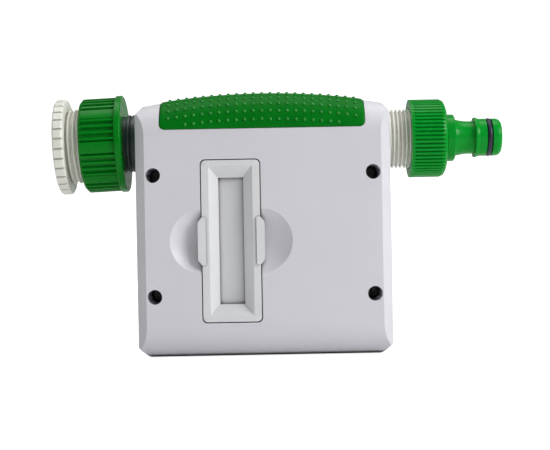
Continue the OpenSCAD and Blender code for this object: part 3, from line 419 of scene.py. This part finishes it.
class GripSurface:
    """The outer face of the grip: an arch along X, rounded over its long edges.

    A place on it is x and s, the distance along the section from a start on the back face.
    """

    def __init__(self):
        low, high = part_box("top_grip")
        self.half_w = high.x
        self.low_z = low.z
        self.half_d = high.y
        self.centre_z = high.z - GRIP_ARCH_R
        self.flat = GRIP_SIDE
        self.round = GRIP_EDGE_R * math.pi / 2
        self.top = 2 * (self.half_d - GRIP_EDGE_R)
        self.length = 2 * (self.flat + self.round) + self.top

    def section(self, s):
        """Radius from the arch's axis, y, and the section's outward normal at s."""
        if s > self.length / 2:
            r, y, nr, ny = self.section(self.length - s)
            return r, -y, nr, -ny
        inner = GRIP_ARCH_R - GRIP_EDGE_R
        if s < self.flat:
            return inner - self.flat + s, -self.half_d, 0.0, -1.0
        if s < self.flat + self.round:
            a = (s - self.flat) / GRIP_EDGE_R
            return (inner + GRIP_EDGE_R * math.sin(a),
                    -self.half_d + GRIP_EDGE_R * (1 - math.cos(a)), math.sin(a), -math.cos(a))
        return GRIP_ARCH_R, -self.half_d + GRIP_EDGE_R + s - self.flat - self.round, 1.0, 0.0

    def frame_at(self, x, s):
        """The point at (x, s) and its outward normal."""
        r, y, nr, ny = self.section(s)
        up = math.sqrt(r * r - x * x)
        point = Vector((x, y, self.centre_z + up))
        return point, Vector((nr * x / r, ny, nr * up / r)).normalized()

    def edge(self, x):
        """Where the grip's lower edge is at x, with its round corners."""
        over = max(0.0, abs(x) - (self.half_w - GRIP_CORNER_R))
        over = min(over, GRIP_CORNER_R)
        z = self.low_z + GRIP_CORNER_R - math.sqrt(GRIP_CORNER_R ** 2 - over ** 2)
        r = math.hypot(z - self.centre_z, x)
        inner = GRIP_ARCH_R - GRIP_EDGE_R
        if r < inner:
            return self.flat - (inner - r)
        return self.flat + GRIP_EDGE_R * math.asin(min(1.0, (r - inner) / GRIP_EDGE_R))

    def rim_drop(self, x, s):
        """How far the rounded rim lies under the surface at (x, s)."""
        start = self.edge(x)
        inside = min(self.half_w - abs(x), s - start, self.length - start - s)
        if inside >= GRIP_RIM_R:
            return 0.0
        return GRIP_RIM_R * (1 - math.sqrt(max(0.0, 1 - (1 - max(0.0, inside) / GRIP_RIM_R) ** 2)))


def eased(count):
    """Numbers from 0 to 1, close together over RIM_SHARE at both ends."""
    ends = [RIM_SHARE * (i / RIM_STEPS) ** RIM_EASE for i in range(RIM_STEPS)]
    middle = [RIM_SHARE + (1 - 2 * RIM_SHARE) * i / count for i in range(count + 1)]
    return ends + middle + [1 - t for t in reversed(ends)]


def grip_mesh():
    """A closed shell with a rounded rim, and raised dots on its outer face."""
    surface = GripSurface()
    across = eased(GRIP_STEPS_ACROSS)
    along = eased(GRIP_STEPS_ALONG)
    verts, faces = [], []
    for lift in (0, -GRIP_THICKNESS):
        for u in across:
            x = surface.half_w * (2 * u - 1)
            start = surface.edge(x)
            for v in along:
                s = start + (surface.length - 2 * start) * v
                point, normal = surface.frame_at(x, s)
                drop = surface.rim_drop(x, s) if lift == 0 else 0
                verts.append(point + normal * (lift - drop))
    rows, cols = len(across), len(along)
    for layer in (0, 1):
        base = layer * rows * cols
        for i in range(rows - 1):
            for j in range(cols - 1):
                a = base + i * cols + j
                quad = (a, a + cols, a + cols + 1, a + 1)
                faces.append(quad if layer == 0 else quad[::-1])
    under = rows * cols
    border = [i * cols for i in range(rows)]
    border += [(rows - 1) * cols + j for j in range(1, cols)]
    border += [i * cols + cols - 1 for i in range(rows - 2, -1, -1)]
    border += [j for j in range(cols - 2, 0, -1)]
    for a, b in zip(border, border[1:] + border[:1]):
        faces.append((b, a, a + under, b + under))
    shell_count = len(faces)
    add_dots(surface, verts, faces)
    mesh = bpy.data.meshes.new("grip_cover")
    mesh.from_pydata([tuple(v) for v in verts], [], faces)
    mesh.materials.append(materials["grip_rubber"])
    # The dots take a lighter green, a painted highlight
    mesh.materials.append(dot_rubber_painted_highlight())
    for polygon in mesh.polygons:
        polygon.use_smooth = True
        polygon.material_index = int(polygon.index >= shell_count)
    return mesh


def add_dots(surface, verts, faces):
    """Rows of small domes that follow the arch."""
    rings, sides = DOT_RINGS, DOT_SIDES
    for column in range(DOT_COLUMNS):
        x = (column - (DOT_COLUMNS - 1) / 2) * DOT_PITCH_X
        for row in range(DOT_ROWS):
            s = surface.length / 2 + (row - (DOT_ROWS - 1) / 2) * DOT_PITCH_Y
            start = surface.edge(x)
            if min(s - start, surface.length - start - s) < DOT_MARGIN:
                continue
            point, normal = surface.frame_at(x, s)
            side = normal.cross(Vector((1, 0, 0))).normalized()
            front = side.cross(normal)
            base = len(verts)
            for ring in range(rings):
                a = math.pi / 2 * ring / rings
                sink = DOT_SINK if ring == 0 else 0
                for k in range(sides):
                    t = 2 * math.pi * k / sides
                    flat = (side * math.cos(t) + front * math.sin(t)) * DOT_R * math.cos(a)
                    verts.append(point + flat + normal * (DOT_HEIGHT * math.sin(a) - sink))
            verts.append(point + normal * DOT_HEIGHT)
            for ring in range(rings - 1):
                for k in range(sides):
                    n = (k + 1) % sides
                    a, b = base + ring * sides, base + (ring + 1) * sides
                    faces.append((a + n, a + k, b + k, b + n))
            last = base + (rings - 1) * sides
            for k in range(sides):
                faces.append((last + (k + 1) % sides, last + k, base + rings * sides))
            faces.append(tuple(base + k for k in range(sides)))


def outward(obj):
    """Turns every face of a closed mesh outwards."""
    bm = bmesh.new()
    bm.from_mesh(obj.data)
    bmesh.ops.recalc_face_normals(bm, faces=bm.faces)
    bm.to_mesh(obj.data)
    bm.free()


def soft_grip():
    obj = bpy.data.objects.new("grip_cover", grip_mesh())
    scene.collection.objects.link(obj)
    outward(obj)
    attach(obj, "housing")
    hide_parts("top_grip")


soft_grip()


# ---------------------------------------------------------------- Display

DIGIT_W = 6.0 * MM
DIGIT_H = 12.5 * MM
DIGIT_STEP = 9.4 * MM
SEGMENT_W = 1.3 * MM
SEGMENT_GAP = 0.2 * MM
SEGMENT_T = 0.08 * MM
COLON_X = -0.25 * MM
COLON_SHARE = 0.2
SEGMENT_ENDS = {
    "a": ((0, 1), (1, 1)), "b": ((1, 1), (1, 0.5)), "c": ((1, 0.5), (1, 0)), "d": ((0, 0), (1, 0)),
    "e": ((0, 0.5), (0, 0)), "f": ((0, 1), (0, 0.5)), "g": ((0, 0.5), (1, 0.5)),
}
DIGITS = {"0": "abcdef", "1": "bc", "2": "abged", "3": "abgcd"}


def bar_outline(start, end):
    """A bar with pointed ends between two points of the display."""
    along = (end - start).normalized()
    across = Vector((-along.y, along.x)) * SEGMENT_W / 2
    tip = along * SEGMENT_W / 2
    start, end = start + along * SEGMENT_GAP, end - along * SEGMENT_GAP
    return [start, start + tip + across, end - tip + across,
            end, end - tip - across, start + tip - across]


def clock_outlines(digits):
    """Bars of a four-figure clock, about the middle of the display."""
    outlines = []
    width = DIGIT_STEP * len(digits) + DIGIT_STEP / 2
    for i, digit in enumerate(digits):
        past_colon = DIGIT_STEP / 2 if i > 1 else 0
        left = -width / 2 + DIGIT_STEP * i + past_colon + (DIGIT_STEP - DIGIT_W) / 2
        for letter in DIGITS[digit]:
            ends = [Vector((left + u * DIGIT_W, (v - 0.5) * DIGIT_H)) for u, v in SEGMENT_ENDS[letter]]
            outlines.append(bar_outline(*ends))
    for v in (-COLON_SHARE, COLON_SHARE):
        middle = Vector((COLON_X, v * DIGIT_H))
        half = SEGMENT_W / 2
        outlines.append([middle + Vector((x, y)) for x, y in
                         ((-half, -half), (half, -half), (half, half), (-half, half))])
    return outlines


def display_clock():
    """Dark figures on the display, read from the front."""
    low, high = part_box("lcd_panel")
    middle_z = (low.z + high.z) / 2
    verts, faces = [], []
    for outline in clock_outlines("1230"):
        base, count = len(verts), len(outline)
        for y in (high.y, high.y + SEGMENT_T):
            verts += [(-p.x, y, middle_z + p.y) for p in outline]
        faces.append(tuple(base + k for k in range(count)))
        faces.append(tuple(base + count + k for k in reversed(range(count))))
        for k in range(count):
            n = (k + 1) % count
            faces.append((base + k, base + count + k, base + count + n, base + n))
    mesh = bpy.data.meshes.new("display_clock")
    mesh.from_pydata(verts, [], faces)
    obj = bpy.data.objects.new("display_clock", mesh)
    scene.collection.objects.link(obj)
    outward(obj)
    put_material(obj, materials["black_plastic"])
    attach(obj, "housing")


display_clock()


# ---------------------------------------------------------------- Stage

def area_light(name, place, target, size, power):
    data = bpy.data.lights.new(name, "AREA")
    data.shape = "RECTANGLE"
    data.size, data.size_y = size
    data.energy = power
    light = bpy.data.objects.new(name, data)
    scene.collection.objects.link(light)
    light.location = place
    light.rotation_euler = (Vector(target) - Vector(place)).to_track_quat("-Z", "Y").to_euler()


# The paper looks brighter to the camera than it lights the timer
PAPER_GLOW = 0.85
PAPER_HALF = 12.0
PAPER_HEIGHT = 3.0
PAPER_DEPTH = 1.6
PAPER_BEND_R = 0.6
PAPER_BEND_STEPS = 24
WORLD_STRENGTH = 0.28
LIGHT_TARGET = (0, 0, 0.07)
CAMERA_PLACE = (0.0048, -0.540, 0.0572)
CAMERA_ROLL = 1.07
CAMERA_LENS = 78.2
CAMERA_SENSOR = 36


def paper_profile():
    """Places (y, z) along the paper: a flat floor, a bend and an upright back."""
    rows = [(-PAPER_HALF, 0.0)]
    for i in range(PAPER_BEND_STEPS + 1):
        a = math.pi / 2 * i / PAPER_BEND_STEPS
        rows.append((PAPER_DEPTH + PAPER_BEND_R * math.sin(a), PAPER_BEND_R - PAPER_BEND_R * math.cos(a)))
    rows.append((PAPER_DEPTH + PAPER_BEND_R, PAPER_HEIGHT))
    return rows


def studio_paper():
    """Pale paper that glows a little, but only as the camera sees it."""
    paper = Surface("studio_paper", linear(250, 250, 250), 0.9)
    paper.mottle(0.4, 0.004).grain(0.002, 0.00005, 0.2)
    seen = paper.add("ShaderNodeLightPath")
    glow = paper.add("ShaderNodeMath", operation="MULTIPLY")
    glow.inputs[1].default_value = PAPER_GLOW
    paper.shader.inputs["Emission Color"].default_value = (1, 1, 1, 1)
    paper.link(seen.outputs["Is Camera Ray"], glow.inputs[0])
    paper.link(glow.outputs["Value"], paper.shader.inputs["Emission Strength"])
    return paper.material


def studio():
    """A pale floor that curves up into a backdrop, with broad soft lights."""
    rows = paper_profile()
    verts = [(x, y, z) for y, z in rows for x in (-PAPER_HALF, PAPER_HALF)]
    faces = [(2 * i, 2 * i + 1, 2 * i + 3, 2 * i + 2) for i in range(len(rows) - 1)]
    mesh = bpy.data.meshes.new("studio_floor")
    mesh.from_pydata(verts, [], faces)
    floor = bpy.data.objects.new("studio_floor", mesh)
    scene.collection.objects.link(floor)
    put_material(floor, studio_paper())

    world = bpy.data.worlds.new("studio_world")
    world.use_nodes = True
    background = world.node_tree.nodes["Background"]
    background.inputs["Color"].default_value = (1, 1, 1, 1)
    background.inputs["Strength"].default_value = WORLD_STRENGTH
    scene.world = world
    area_light("key_right", (0.95, -0.55, 0.6), LIGHT_TARGET, (0.5, 0.5), 9.4)
    area_light("fill_left", (-0.9, -0.6, 0.35), LIGHT_TARGET, (0.6, 0.8), 0.2)
    area_light("top", (0, 0.1, 1.1), LIGHT_TARGET, (1.0, 0.6), 5.5)
    scene.view_settings.view_transform = "Standard"


def camera():
    """Square on to the back, with the small roll of a hand-held view."""
    data = bpy.data.cameras.new("camera")
    data.lens = CAMERA_LENS
    data.sensor_width = CAMERA_SENSOR
    cam = bpy.data.objects.new("camera", data)
    scene.collection.objects.link(cam)
    cam.location = CAMERA_PLACE
    cam.rotation_euler = (math.radians(90), math.radians(CAMERA_ROLL), 0)
    scene.camera = cam


studio()
camera()
